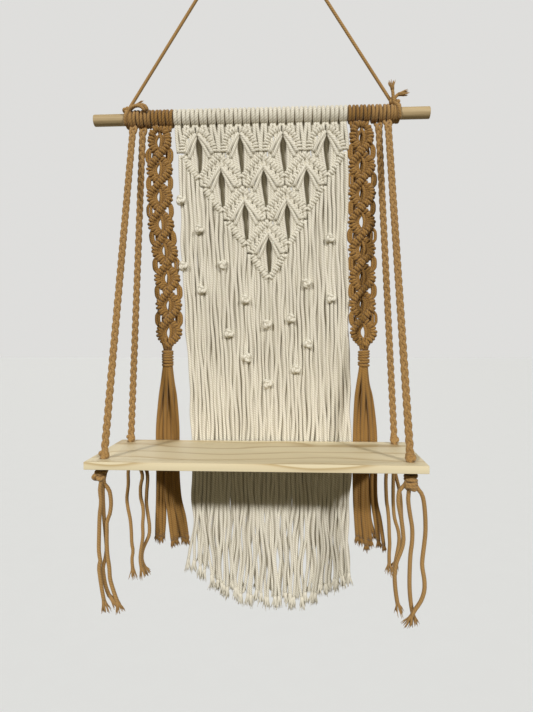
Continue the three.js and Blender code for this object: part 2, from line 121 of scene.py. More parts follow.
# White panel: the diamonds of its net, measured from the top of each
STRANDS = 40
STRAND_PITCH = 2 * PANEL_HALF_WIDTH / STRANDS
NET_Y = -9.0
NET_TOP = -272.5
ROWS = 4
ROW_PITCH = 40.2
DIAMOND_HALF = PANEL_HALF_WIDTH / ROWS
DIAMOND_APEX = 3.6
LOWER_APEX = 6.5
DIAMOND_SIDE = 33.0
DIAMOND_BOTTOM = 62.0
BAR_CROSSING = 1.6
TOP_INSET = 5.7
CORNER_INSET = 3.6
EDGE_INSET = 6.0
STRANDS_PER_BAR = 5

# The first row's rounded upper bars: their fall, and the shares of their reach they go through
ARCH_FALL = 26.5
ARCH_SHARES = (0.04, 0.3, 0.55, 0.78, 0.93, 0.99, 1.0)

# The other upper bars: shares of their reach and of their fall, and how much they bulge there
SLANT = ((0.27, 0.24, 0.5), (0.55, 0.53, 0.8), (0.87, 0.82, 0.6))

# Half hitches on the net's bars: how far apart, how much they lean, and by how much that varies
NET_HITCH = 3.5
NET_LEAN = 0.12
NET_SPREAD = 0.05

# What closes the net behind: short bars and cords where diamonds meet, cords behind each slot and
# each outer corner (how far down or up, and how deep), and one in the groove under each lower bar
MEETING_TOP = 4.0
MEETING_BAR = (-6.5, 6.5)
MEETING_CORDS = (-4.4, 0, 4.4)
MEETING_RISE = (7, -7)
SLOT_MIDDLE = 1.2
SLOT_CORDS = (-3.4, 1.1, 5.6)
SLOT_LINE = ((6, 3), (14, 8.5), (46, 9.5), (58, 6))
OUTER_CORDS = (-8.5, -4.3, 0)
OUTER_LINE = ((10, 3.5), (-16, 4.5))
GROOVE_SHIFT = (0, 3.4, -4.4)

# White fringe: the arc of its tips, and how much higher the front strands end
FRINGE_Y = 0.9
FRINGE_LOWEST = -866.0
FRINGE_LOWEST_X = 18.0
FRINGE_ARC = 37 / 93 ** 2
FRONT_DEPTHS = (0.6, -1.0)
FRONT_RISE = 12
FRONT_SPREAD = (-4, 5)
REAR_DEPTH = 3.0
REAR_RISE = (14, 28)
HEM_OVERLAP = 3.5
LOCKS = (-82, -66, -48, -30, -12, 4, 20, 36, 52, 70, 88, 104)
REAR_LOCK_SHIFT = 8
# The level of the painted ply-groove shade that the frayed tufts take
TUFT_GROOVE_SHADE = -0.012

# Side bands, gathering wraps and tassels
BAND_TOP = -272.5
BAND_DIAMONDS = 8
BAND_PITCH = 33.0
BAND_REACH = 12.1
FIRST_REACH = 10.4
BAND_Y = -9.0
BAND_HITCH = 3.8
BAR_STEPS = 22
BAND_CORDS = 6
NECK_CORDS = 7

# Cords inside a band's small diamond, from its middle line and its top, and those past its necks
SLOT_BACK = ((0.6, -5, 1.5), (0.8, -11, 5), (-0.5, -22, 5), (-0.6, -28, 1.5))
SLOT_FRONT = ((-0.5, -5, 0.5), (2.3, -12, -1.2), (2.6, -20, -1.2), (0.4, -28, 0.5))
NECK_BACK = ((6, 10, 3), (8.5, 0, 4.5), (6, -10, 3))
SIDE_CORDS = ((4.4, 0.8), (7.4, 0.2))
BOWS = (12.2, 15.4)

# Gathering wraps
GATHER_TOP = BAND_TOP - BAND_DIAMONDS * BAND_PITCH - 5
GATHER_LENGTH = 20.0
GATHER_Y = -7.0
GATHER_LOOPS = 6

# How far the panel has settled to the right: height, then left edge, middle and right edge
SETTLING = [(-272, 0, 0, 0), (-300, 5, 1, 0.5), (-335, 5, 4, 2), (-385, 7, 8.3, 0.8),
            (-425, 8, 10.5, 1), (-460, 9, 10.5, 2.5), (-640, 17, 12, 7)]

# The single knots on the hanging strands, x and height, and how far they stand before them
KNOT_RADIUS = 6.6
KNOT_CORD = 2.4
KNOT_DEPTH = -3.8
KNOTS = [
    (-100, -360), (-76, -395), (-93, -439), (-46, -438), (-74, -468), (-19, -480), (-41, -521),
    (-15, -551), (9, -510), (39, -503), (10, -583), (45, -565), (55, -461), (56, -534),
    (85, -408), (86, -479),
]

# The middle line of each side band as it hangs: height and x
BAND_LINES = {
    "left": [(-272, -122), (-350, -123), (-392, -121), (-430, -115.5), (-480, -112.5),
             (-520, -112), (-560, -117)],
    "right": [(-272, 121), (-350, 122), (-392, 122), (-430, 122.5), (-480, 123),
              (-520, 124.5), (-560, 126)],
}

# Tassel cords: x beside the board, x of the tip and height of the tip
TASSELS = {
    "left": [(-130, -132, -783), (-125, -127, -786), (-120, -112, -790), (-115, -107, -789),
             (-110, -99, -786), (-105, -94, -782)],
    "right": [(115, 119, -780), (120, 124, -783), (125, 130, -791), (130, 136, -786),
              (135, 145, -785), (140, 152, -791)],
}

# Braided ropes: side, front or rear, top x and y, and the tails below the knot as x, y and z
ROPES = {
    "rope_front_left": (-1, True, (-153.5, -12), [
        [(-164, -109, -686), (-163, -109, -700), (-164.7, -109, -715), (-165.3, -109.5, -733),
         (-165.6, -110, -753), (-164, -110.5, -764), (-165.6, -110.5, -770), (-164.5, -110.5, -781),
         (-162.7, -110.5, -794), (-160.5, -110, -808)],
        [(-161, -105, -681), (-156.3, -104, -688), (-154.4, -104, -696), (-154, -104, -705),
         (-155.2, -105, -715), (-158, -106, -723), (-158.2, -106, -733), (-158.6, -105.5, -746),
         (-158.1, -105, -760), (-156.3, -105, -773), (-155.6, -105, -785), (-152, -105, -798),
         (-147, -106, -811)],
        [(-162.7, -103.5, -686), (-162.4, -103, -715), (-161, -103, -733), (-159.8, -103, -753),
         (-161.4, -103.5, -765), (-163.5, -104, -772), (-163, -104, -781), (-161, -104, -793),
         (-157.5, -104, -803), (-154, -104, -807)],
    ]),
    "rope_rear_left": (-1, False, (-142.5, -9), [
        [(-163, -15.5, -690), (-163, -16, -707), (-164.6, -17, -724), (-163, -17.5, -737),
         (-160.5, -17.5, -750), (-159.3, -17.5, -765), (-159, -17, -780), (-157.7, -16.5, -790),
         (-159, -17, -800), (-158, -17, -813)],
        [(-144.9, -18.5, -692), (-146.7, -19, -708), (-146.7, -19, -722), (-144.1, -19, -733),
         (-143.8, -18.5, -744), (-144.9, -18, -756), (-144.9, -17.5, -771), (-147.9, -17, -790),
         (-148.6, -17, -801), (-147, -17, -812)],
        [(-140.8, -13, -690), (-141, -13, -719), (-141.4, -13, -731), (-139.3, -13, -747),
         (-138, -12.5, -759), (-138.5, -12.5, -771), (-143, -12, -781), (-147, -12, -791),
         (-148, -12, -802), (-145, -12, -811)],
    ]),
    "rope_rear_right": (1, False, (141, -9), [
        [(152, -15.5, -688), (152, -16, -719), (153.7, -16, -732), (155, -16, -746), (155.8, -16, -765),
         (156.5, -15, -776), (155.8, -15.5, -787), (156, -15.5, -800)],
        [(159.7, -18.5, -690), (159.7, -18.5, -722), (161.3, -19, -742), (166, -18, -758),
         (167, -18, -771), (164.5, -18, -787), (162, -18, -801)],
        [(163, -11, -688), (169, -12, -715), (171, -12, -744), (173, -12, -765), (171, -12, -780),
         (165, -12, -797)],
    ]),
    "rope_front_right": (1, True, (151.5, -12), [
        [(154.6, -108.5, -679.5), (150.8, -108.5, -682), (149.4, -108.5, -688), (149.4, -108.5, -698),
         (152.4, -108.5, -714), (154.2, -108.5, -728), (154.6, -108.5, -737), (152.6, -108.5, -746),
         (147.8, -108.5, -759), (145.9, -108.5, -772), (147, -108.5, -789), (149.2, -108.5, -803)],
        [(160.1, -106.5, -685), (159.7, -106, -695), (161.5, -106.5, -709), (163.9, -106, -723),
         (163.9, -106.5, -737), (162.4, -106.5, -750), (161.6, -107, -764), (161.5, -107, -785),
         (163.1, -107, -803), (165.3, -107.5, -815)],
        [(168, -110, -680.5), (173.1, -110.5, -688), (175.6, -110.5, -703), (176.5, -110.5, -723),
         (175.5, -110.5, -737), (173.9, -111, -750), (173.3, -111, -761), (175.6, -111, -775),
         (175.5, -112, -786), (172.2, -112, -797), (166, -113, -806), (161.5, -113.5, -814)],
    ]),
}

# Knots under the board: how far the collars and the knot are shifted, and the collars' heights
BOARD_KNOTS = {
    "rope_front_left": ((-3.5, 0, 0), (-6, -2, -5), (3.0, -1.0)),
    "rope_rear_left": ((0, 0, 0), (0, 0, 0), (3.0, -0.8, -4.2)),
    "rope_rear_right": ((0, 0, 0), (0, 0, 0), (3.0, -0.8, -4.2)),
    "rope_front_right": ((0.6, 0, 0), (1, -1.5, -11), (3.0, -1.4, -5.4, -9.0, -12.6)),
}
COLLAR_LEANS = (0.06, -0.1, 0.12, -0.08, 0.14)

# Ends of the hanger's ties: a slack loop and a frayed end on the left, two frayed ends on the right
TIE_LOOPS = [
    [(-159, -15, -254), (-155, -17, -250), (-149, -18, -248), (-142, -18.5, -249.5),
     (-137.5, -18.5, -254.5)],
    [(-157, -13, -250), (-150, -15, -247), (-143, -16.5, -246.5), (-137, -17.5, -248.5),
     (-134.5, -18, -253.5)],
]
TIE_ENDS = [
    [(159, -13, -252), (157.5, -14, -245), (156.8, -14.5, -239), (156, -14.5, -233)],
    [(159, -12, -250), (159.5, -13, -245), (162.5, -13.5, -241.5), (166, -13.5, -240.5)],
    [(-156, -12, -249.5), (-152, -13, -247), (-147.5, -13, -245.5)],
]


# Camera, light and floor

def set_camera():
    bpy.ops.object.camera_add(location=CAMERA_PLACE, rotation=[radians(turn) for turn in CAMERA_TURN])
    camera = bpy.context.object
    camera.data.lens = CAMERA_LENS
    camera.data.sensor_width = CAMERA_FILM
    camera.data.clip_start = 0.01
    bpy.context.scene.camera = camera


def set_lights():
    for name, tilt, turn, strength, width in LAMPS:
        bpy.ops.object.light_add(type="SUN", rotation=(radians(tilt), 0, radians(turn)))
        light = bpy.context.object
        light.name = name
        light.data.energy = strength
        light.data.angle = radians(width)
        light.data.color = LAMP_COLOUR
    world = bpy.data.worlds.new("pale_room")
    world.use_nodes = True
    tree = world.node_tree
    room = tree.nodes["Background"]
    # What the camera sees of the room is paler than the light it gives.
    seen = tree.nodes.new("ShaderNodeLightPath")
    level = tree.nodes.new("ShaderNodeMix")
    level.data_type = "RGBA"
    level.inputs[6].default_value = ROOM_LIGHT
    level.inputs[7].default_value = ROOM_PALE
    tree.links.new(seen.outputs["Is Camera Ray"], level.inputs[0])
    tree.links.new(level.outputs[2], room.inputs["Color"])
    bpy.context.scene.world = world
    bpy.context.scene.view_settings.view_transform = "Standard"


# Shader expressions

def operation(name, reflected=False):
    """A method that adds one Math node. Its reflected form has the two values the other way round."""
    def add_node(self, *others):
        values = (*others, self) if reflected else (self, *others)
        return self.finish.node("Math", {"operation": name}, dict(enumerate(values)))
    return add_node


class Wire:
    """The output of a shader node, with Python's operators standing for Math nodes."""

    def __init__(self, finish, socket):
        self.finish = finish
        self.socket = socket

    __add__ = operation("ADD")
    __radd__ = operation("ADD", True)
    __sub__ = operation("SUBTRACT")
    __rsub__ = operation("SUBTRACT", True)
    __mul__ = operation("MULTIPLY")
    __rmul__ = operation("MULTIPLY", True)
    __truediv__ = operation("DIVIDE")
    __rtruediv__ = operation("DIVIDE", True)
    __pow__ = operation("POWER")
    sine = operation("SINE")
    fraction = operation("FRACT")
    size = operation("ABSOLUTE")
    above = operation("GREATER_THAN")


class Finish:
    """A material built from nodes around one Principled shader."""

    def __init__(self, name, **constants):
        self.material = bpy.data.materials.new(name)
        self.material.use_nodes = True
        self.tree = self.material.node_tree
        self.shader = self.tree.nodes["Principled BSDF"]
        for socket, value in constants.items():
            self.shader.inputs[socket.replace("_", " ")].default_value = value

    def node(self, kind, settings, values, output=0):
        made = self.tree.nodes.new("ShaderNode" + kind)
        for key, value in settings.items():
            if key == "stops":
                ramp = made.color_ramp.elements
                while len(ramp) < len(value):
                    ramp.new(0.5)
                for element, (place, colour) in zip(ramp, value):
                    element.position = place
                    element.color = colour
            else:
                setattr(made, key, value)
        for key, value in values.items():
            if isinstance(value, Wire):
                self.tree.links.new(value.socket, made.inputs[key])
            else:
                made.inputs[key].default_value = value
        return Wire(self, made.outputs[output])

    def noise(self, stretch, scale=1.0, detail=2.0, distortion=0.0):
        spot = self.node("TexCoord", {}, {}, "Object")
        place = self.node("Mapping", {}, {"Vector": spot, "Scale": stretch})
        return self.node("TexNoise", {}, {"Vector": place, "Scale": scale, "Detail": detail,
                                          "Distortion": distortion})

    def split(self, vector):
        """The three numbers of a vector."""
        first = self.node("SeparateXYZ", {}, {"Vector": vector})
        return first, *(Wire(self, output) for output in first.socket.node.outputs[1:])

    def blend(self, share, first, second):
        """A colour between two, which are the sockets 6 and 7 of a Mix node set to colours."""
        return self.node("Mix", {"data_type": "RGBA"}, {0: share, 6: first, 7: second}, 2)

    def feed(self, **links):
        for socket, wire in links.items():
            self.tree.links.new(wire.socket, self.shader.inputs[socket.replace("_", " ")])

    def relief(self, height, distance, strength=1.0):
        bump = self.node("Bump", {}, {"Height": height, "Distance": distance, "Strength": strength})
        self.feed(Normal=bump)


def shade(red, green, blue):
    """A colour picked as 0 to 255 on screen, made linear."""
    parts = (value / 255 for value in (red, green, blue))
    return (*(((p + 0.055) / 1.055) ** 2.4 if p > 0.04 else p / 12.92 for p in parts), 1)


# Finishes

def cord_finish(name, light, groove_shade_and_wear_colour, groove_shade_amount, depth, wear=1.0, plies=3, lay=8.6):
    """Soft twisted cotton: plies that wind round the cord, with fine fibres over them. The colour darkens
    into the grooves between the plies as painted shade.
    """
    finish = Finish(name, Roughness=0.92, Sheen_Weight=0.25, Sheen_Roughness=0.5,
                    Specular_IOR_Level=0.2)
    map_uv = finish.node("UVMap", {"uv_map": "UVMap"}, {})
    along, around, _ = finish.split(map_uv)
    phase = (along / lay + around) * plies
    ply = 0.5 + 0.5 * (phase * (2 * pi)).sine()
    groove = ply ** 0.55
    fibres = finish.noise((1, 1, 1), 1500.0, 3.0)
    fluff = finish.noise((1, 1, 0.35), 420.0, 2.0)
    tone = finish.noise((1, 1, 0.5), 26.0, 1.0)
    # Painted shade: the colour runs from the light crowns of the plies to the dark colour in the grooves
    # between them, where a shadow would fall.
    ply_colour_with_painted_shade = finish.blend((1 - groove_shade_amount) + groove_shade_amount * groove, groove_shade_and_wear_colour, light)
    worn = finish.blend((0.3 * tone + 0.24 * fluff) * wear, ply_colour_with_painted_shade, groove_shade_and_wear_colour)
    finish.feed(Base_Color=worn)
    finish.relief(0.7 * groove + 0.25 * fluff + 0.12 * fibres, depth, 0.85)
    return finish.material


def dowel_finish():
    """Pale beech gone a little grey: fine long grain, with darker cut ends."""
    finish = Finish("dowel_wood", Roughness=0.62, Specular_IOR_Level=0.35)
    streaks = finish.noise((14, 600, 600), 1.0, 3.0, 0.4)
    bands = finish.noise((5, 120, 120), 1.0, 2.0)
    flecks = finish.noise((60, 900, 900), 1.6, 1.0)
    tones = [(0.28, shade(147, 127, 92)), (0.52, shade(183, 161, 122)), (0.8, shade(201, 181, 142))]
    grain = finish.node("ValToRGB", {"stops": tones}, {"Fac": 0.62 * streaks + 0.38 * bands})
    marked = finish.blend((flecks * 1.5 - 0.72) * 0.4, grain, shade(122, 99, 68))
    facing = finish.node("NewGeometry", {}, {}, "Normal")
    end = finish.split(facing)[0].size().above(0.8)
    pores = finish.noise((900, 900, 900), 1.0, 2.0)
    cut = finish.blend(pores, shade(196, 172, 132), shade(146, 118, 80))
    finish.feed(Base_Color=finish.blend(end, marked, cut))
    finish.relief(streaks * 0.7 + flecks * 0.3, 0.00018, 0.7)
    return finish.material


def board_finish():
    """Sawn pine: growth rings round a far heart, so the lines run along the board."""
    finish = Finish("board_wood", Roughness=0.55, Specular_IOR_Level=0.35)
    spot = finish.node("TexCoord", {}, {}, "Object")
    bend = finish.noise((5.5, 9, 9), 1.0, 1.5)
    ripple = finish.noise((16, 70, 70), 1.0, 1.5)
    _, depth, height = finish.split(spot)
    from_heart_y = depth - HEART_Y * MM
    from_heart_z = (height - BOARD_TOP_Z * MM + HEART_BELOW * MM) * 0.9
    radius = (from_heart_y * from_heart_y + from_heart_z * from_heart_z) ** 0.5
    rings = (radius + 0.034 * bend + 0.0016 * ripple) * RINGS_PER_METRE
    late = rings.fraction() ** 4
    tones = [(0.0, shade(228, 220, 191)), (0.45, shade(222, 212, 181)), (0.82, shade(178, 156, 115)),
             (1.0, shade(212, 200, 165))]
    wood = finish.node("ValToRGB", {"stops": tones}, {"Fac": late})
    fibres = finish.noise((9, 480, 480), 1.0, 3.0)
    streaked = finish.blend(0.34 * fibres, wood, shade(188, 164, 120))
    tone = finish.noise((4, 14, 14), 1.0, 1.0)
    warm = finish.blend(0.35 * tone, streaked, shade(216, 190, 142))
    finish.feed(Base_Color=warm)
    finish.relief(0.5 * fibres - 0.4 * late, 0.00012, 0.6)
    return finish.material


def floor_finish():
    finish = Finish("pale_floor", Roughness=0.9)
    mottle = finish.noise((1, 1, 1), 1.5, 2.0)
    finish.feed(Base_Color=finish.blend(mottle, *FLOOR_TONES))
    return finish.material


# Making tools

def pick(*objects):
    bpy.ops.object.select_all(action="DESELECT")
    for made in objects:
        made.select_set(True)
    bpy.context.view_layer.objects.active = objects[0]


def in_edit_mode(piece, *steps):
    pick(piece)
    bpy.ops.object.mode_set(mode="EDIT")
    bpy.ops.mesh.select_all(action="SELECT")
    for step in steps:
        step()
    bpy.ops.object.mode_set(mode="OBJECT")


def smooth_line(corners, step):
    """Points about one step apart on a smooth curve through the corners."""
    last = len(corners) - 1
    fine = []
    for i in range(last):
        a, b, c, d = (Vector(corners[min(max(i + k, 0), last)]) for k in (-1, 0, 1, 2))
        for k in range(12):
            t = k / 12
            fine.append(0.5 * (2 * b + (c - a) * t + (2 * a - 5 * b + 4 * c - d) * t * t
                               + (3 * b - a - 3 * c + d) * t ** 3))
    fine.append(Vector(corners[-1]))
    return even_steps(fine, step)


def even_steps(fine, step):
    """Points about one step apart on a line of close points."""
    along = [0.0]
    for a, b in zip(fine, fine[1:]):
        along.append(along[-1] + (b - a).length)
    spans = max(1, round(along[-1] / step))
    points = []
    at = 0
    for k in range(spans + 1):
        goal = along[-1] * k / spans
        while at < len(fine) - 2 and along[at + 1] < goal:
            at += 1
        share = (goal - along[at]) / max(along[at + 1] - along[at], 1e-9)
        points.append(fine[at].lerp(fine[at + 1], min(share, 1)))
    return points


def cords(name, lines, radius=None, closed=False, taper=None):
    """Round cords along lines of points, joined in one mesh. u is millimetres along, v turns round."""
    radius, sides = (radius, 8) if radius else CORDS[name]
    curve = bpy.data.curves.new(name, "CURVE")
    curve.dimensions = "3D"
    curve.bevel_depth = radius * MM
    curve.bevel_resolution = sides // 2 - 2
    curve.use_fill_caps = True
    for line in lines:
        spline = curve.splines.new("POLY")
        spline.points.add(len(line) - 1)
        spline.use_cyclic_u = closed
        for k, (point, place) in enumerate(zip(spline.points, line)):
            point.co = (place[0] * MM, place[1] * MM, place[2] * MM, 1)
            if taper:
                point.radius = taper(k / (len(line) - 1))
    piece = bpy.data.objects.new(name, curve)
    bpy.context.scene.collection.objects.link(piece)
    pick(piece)
    bpy.ops.object.convert(target="MESH")
    measure_cords(piece.data, lines, sides, closed)
    in_edit_mode(piece, lambda: bpy.ops.mesh.remove_doubles(threshold=1e-6))
    pick(piece)
    bpy.ops.object.shade_smooth()
    return piece


def measure_cords(mesh, lines, sides, closed):
    """Turns u, a share of each cord's length at first, into millimetres."""
    place = mesh.uv_layers["UVMap"].data
    walls = (face for face in mesh.polygons if face.loop_total == 4)
    for line in lines:
        spans = len(line) if closed else len(line) - 1
        along = [0.0]
        for k in range(spans):
            along.append(along[-1] + (Vector(line[(k + 1) % len(line)]) - Vector(line[k])).length)
        for _ in range(spans * sides):
            for loop in next(walls).loop_indices:
                here = place[loop].uv
                place[loop].uv = (along[round(here.x * spans)], here.y)


def wrap_shape(name, radius, cord, turns, sides, flatten=1.0):
    """One turn of cord round a bar, in metres, to be copied."""
    bpy.ops.mesh.primitive_torus_add(major_segments=turns, minor_segments=sides,
                                     major_radius=radius * MM, minor_radius=cord * MM)
    piece = bpy.context.object
    piece.name = name
    in_edit_mode(piece, lambda: bpy.ops.transform.resize(value=(1, 1, flatten)))
    bpy.ops.object.shade_smooth()
    for loop in piece.data.uv_layers[0].data:
        loop.uv = (loop.uv.x * 2 * pi * radius, loop.uv.y)
    piece.data.uv_layers[0].name = "UVMap"
    return piece


def copies(name, shape, places):
    """A copy of a small shape at each place, joined in one mesh."""
    whole = bmesh.new()
    for place in places:
        first = len(whole.verts)
        whole.from_mesh(shape.data)
        whole.verts.ensure_lookup_table()
        bmesh.ops.transform(whole, matrix=place, verts=whole.verts[first:])
    mesh = bpy.data.meshes.new(name)
    whole.to_mesh(mesh)
    whole.free()
    piece = bpy.data.objects.new(name, mesh)
    bpy.context.scene.collection.objects.link(piece)
    return piece


def round_line(point, direction, tilt=0.0, stretch=(1, 1, 1), sway=0.0):
    """The place of a wrap that goes round a line at a point."""
    turn = Vector(direction).to_track_quat("Z", "Y").to_matrix().to_4x4()
    lean = Matrix.Rotation(tilt, 4, "X") @ Matrix.Rotation(sway, 4, "Y")
    return Matrix.Translation(Vector(point) * MM) @ turn @ lean @ Matrix.Diagonal((*stretch, 1))


def wraps_on(line, pitch, tilt=0.2, spread=0.1):
    """Places for knots side by side along a line, leaning as half hitches do."""
    length = sum((b - a).length for a, b in zip(line, line[1:]))
    count = max(1, round(length / pitch))
    steps = even_steps(line, length / (4 * count))
    places = []
    for k in range(count):
        at = min(4 * k + 2, len(steps) - 2)
        direction = (steps[at + 1] - steps[at - 1]).normalized()
        swell = 1 + vary(-0.05, 0.07)
        lean = (tilt if k % 2 else -0.35 * tilt) + vary(-spread, spread)
        places.append(round_line(steps[at], direction, vary(-spread, spread),
                                 (swell, swell, 1.0), lean))
    return places


def join(name, parts):
    pick(*parts)
    bpy.ops.object.join()
    piece = bpy.context.object
    piece.name = piece.data.name = name
    return piece


def dress(piece, finish, slot, *nodes):
    piece.data.materials.clear()
    piece.data.materials.append(finish)
    for face in piece.data.polygons:
        face.material_index = 0
    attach(piece, "root")
    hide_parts(*nodes)


def frayed(name, ends):
    """Cut cord ends that come apart: three plies and loose fibres fan out of each point and direction."""
    count, length, spread = TUFTS[name]
    fibres, plies = [], []
    for point, direction in ends:
        point, direction = Vector(point), Vector(direction).normalized()
        side = direction.orthogonal().normalized()
        for k in range(3 + count):
            ply = k < 3
            out = Matrix.Rotation(2 * pi * (k + chance.random()) / (3 if ply else count), 3, direction) @ side
            reach = length * vary(0.6, 1.0) * (0.8 if ply else 1)
            fan = spread * vary(0.35, 1.0) * (0.7 if ply else 1)
            start = point - direction * 3 + out * (0.9 if ply else 1.5)
            curl = Vector((vary(-1, 1), vary(-0.6, 0.6), vary(-0.6, 0.2)))
            curl = curl * 0.18 * length
            line = [start, point + direction * reach * 0.15 + out * (1.1 + 0.25 * fan),
                    point + direction * reach * 0.6 + out * (1.0 + 0.7 * fan) + curl * 0.5,
                    point + direction * reach + out * (0.8 + fan) + curl]
            (plies if ply else fibres).append(line)
    tuft = join(name, [
        cords("plies", plies, taper=lambda t: (1.2, 1.1, 0.95, 0.4)[round(3 * t)]),
        cords("fibres", fibres, taper=lambda t: (1.3, 1.25, 1.0, 0.3)[round(3 * t)])])
    # Single fibres have no twist: the whole tuft takes the tone of a ply's side, one fixed level of the
    # painted groove shade.
    for corner in tuft.data.uv_layers["UVMap"].data:
        corner.uv = (0, TUFT_GROOVE_SHADE)
    return tuft


def cut_ends(lines, back=2):
    """The last point of each line and the way it goes there, for its frayed end."""
    return [(line[-1], line[-1] - line[-back]) for line in lines]


def overhand(centre, radius, cord, tilt, flat):
    """A tight single knot: one cord that winds through itself."""
    scale = (radius - cord) / 3
    turn = Matrix.Rotation(tilt, 3, "Y")
    line = []
    for k in range(36):
        t = 2 * pi * k / 36
        spot = Vector((sin(t) + 2 * sin(2 * t), -1.6 * flat * sin(3 * t), cos(t) - 2 * cos(2 * t))) * scale
        line.append(turn @ spot + Vector(centre))
    return cords("knot", [line], cord, closed=True)


def at_height(table, z):
    """The columns of a table at a height, between the two rows that it lies between."""
    k = 0
    while k < len(table) - 2 and z < table[k + 1][0]:
        k += 1
    upper, lower = table[k], table[k + 1]
    share = min(max((z - upper[0]) / (lower[0] - upper[0]), 0), 1)
    return [a + share * (b - a) for a, b in zip(upper[1:], lower[1:])]


def turn_on_dowel(x, inward, spread):
    """The place of a turn on the dowel. The two of a knot draw together below, each a little differently."""
    centre = Matrix.Translation(Vector((x, DOWEL_Y, DOWEL_Z)) * MM)
    lean = Matrix.Rotation(radians(TURN_LEAN * inward + vary(-spread, spread)), 4, "Y")
    return centre @ lean @ centre.inverted() @ round_line((x, DOWEL_Y, DOWEL_Z), (1, 0, 0))


def turn_places(middle, width, count, first):
    """Places of tan turns side by side on the dowel, the first pair from turn number first on."""
    places = []
    for k in range(count):
        inward = 1 if (k + first) % 2 == 0 else -1
        x = middle + (k - (count - 1) / 2) * width / count + 0.1 * inward
        places.append(turn_on_dowel(x, inward, 1.3))
    return places


# Wooden parts

def ease_edges(piece, width, segments):
    """Rounds the edges of a wooden part and makes its round faces look smooth."""
    pick(piece)
    ease = piece.modifiers.new("ease", "BEVEL")
    ease.width = width * MM
    ease.segments = segments
    ease.limit_method = "ANGLE"
    bpy.ops.object.modifier_apply(modifier=ease.name)
    bpy.ops.object.shade_smooth_by_angle(angle=radians(35))
    return piece


def make_dowel():
    bpy.ops.mesh.primitive_cylinder_add(vertices=48, radius=DOWEL_RADIUS * MM, depth=DOWEL_LENGTH * MM)
    piece = bpy.context.object
    piece.name = "round_dowel"
    turn = Matrix.Translation(Vector((DOWEL_X, DOWEL_Y, DOWEL_Z)) * MM) @ Matrix.Rotation(pi / 2, 4, "Y")
    piece.data.transform(turn)
    return ease_edges(piece, DOWEL_EASE, 2)


def make_board():
    bpy.ops.mesh.primitive_cube_add(size=MM)
    piece = bpy.context.object
    piece.name = "pine_board"
    middle = Vector((BOARD_X, BOARD_MIDDLE_Y, BOARD_TOP_Z - BOARD_THICKNESS / 2)) * MM
    piece.data.transform(Matrix.Translation(middle)
                         @ Matrix.Diagonal((BOARD_LENGTH, BOARD_DEPTH, BOARD_THICKNESS, 1)))
    for side in (-1, 1):
        for depth in (HOLE_FRONT_Y, HOLE_REAR_Y):
            bpy.ops.mesh.primitive_cylinder_add(
                vertices=32, radius=HOLE_RADIUS * MM, depth=3 * BOARD_THICKNESS * MM,
                location=((BOARD_X + side * HOLE_X) * MM, depth * MM, BOARD_TOP_Z * MM))
            drill = bpy.context.object
            pick(piece)
            cut = piece.modifiers.new("hole", "BOOLEAN")
            cut.operation = "DIFFERENCE"
            cut.object = drill
            bpy.ops.object.modifier_apply(modifier=cut.name)
            bpy.data.objects.remove(drill)
    return ease_edges(piece, BOARD_EASE, 3)


# White panel

def strand_top(i):
    return (i + 0.5 - STRANDS / 2) * STRAND_PITCH


def hem(x):
    across = (PANEL_HALF_WIDTH - abs(x)) / DIAMOND_HALF
    row = min(floor(across), ROWS - 1)
    fall = DIAMOND_BOTTOM - DIAMOND_SIDE
    return NET_TOP - DIAMOND_SIDE - row * ROW_PITCH - (across - row) * fall


def tip(x):
    return FRINGE_LOWEST + FRINGE_ARC * (x - FRINGE_LOWEST_X) ** 2


def ease_in(value, low, high):
    t = min(max((value - low) / (high - low), 0), 1)
    return t * t * (3 - 2 * t)


def settled(x, z):
    """Where the panel's point that starts at x on the dowel is at a height."""
    left, middle, right = at_height(SETTLING, z)
    across = min(abs(x) / PANEL_HALF_WIDTH, 1)
    return x + middle + across * ((left if x < 0 else right) - middle)


def strand_at(i, z):
    """Where white strand i is at a height."""
    drift = ease_in(-z, 340, 640)
    back = ease_in(-z, 400, 630)
    below = ease_in(-z, 665, 760)
    x = settled(strand_top(i), z) + drift * 0.4 * sin(0.9 * i + z / 31)
    x += below * 1.6 * sin(0.38 * i + z / 34)
    y = NET_Y + back * (FRINGE_Y - NET_Y) + below * 0.8 * sin(1.9 * i + z / 25)
    return Vector((x, y, z))


def white_wraps(shape):
    """Twenty knots on the dowel: two turns each, and the bar behind that each folded cord makes."""
    places = []
    bars = []
    for i in range(STRANDS):
        inward = 1 if i % 2 == 0 else -1
        x = strand_top(i) + 0.15 * inward
        places.append(turn_on_dowel(x, inward, 1))
        if i % 2 == 0:
            mid = x + STRAND_PITCH / 2
            bars.append([Vector((mid + k * 1.3, DOWEL_Y + 10.2 - 0.18 * k * k, DOWEL_Z - 2.5))
                         for k in range(-3, 4)])
    return [copies("turns", shape, places), cords("bars", bars)]


def net(x, z, y=0.0):
    """A point of the net, which settles to the right as the whole panel does."""
    return Vector((settled(x, z), NET_Y + y, z))


def arch(share):
    """How far below the first row's top its rounded upper bar is, at a share of its reach."""
    return DIAMOND_APEX + ARCH_FALL * (1 - (1 - min(share, 1) ** 2) ** 0.5)


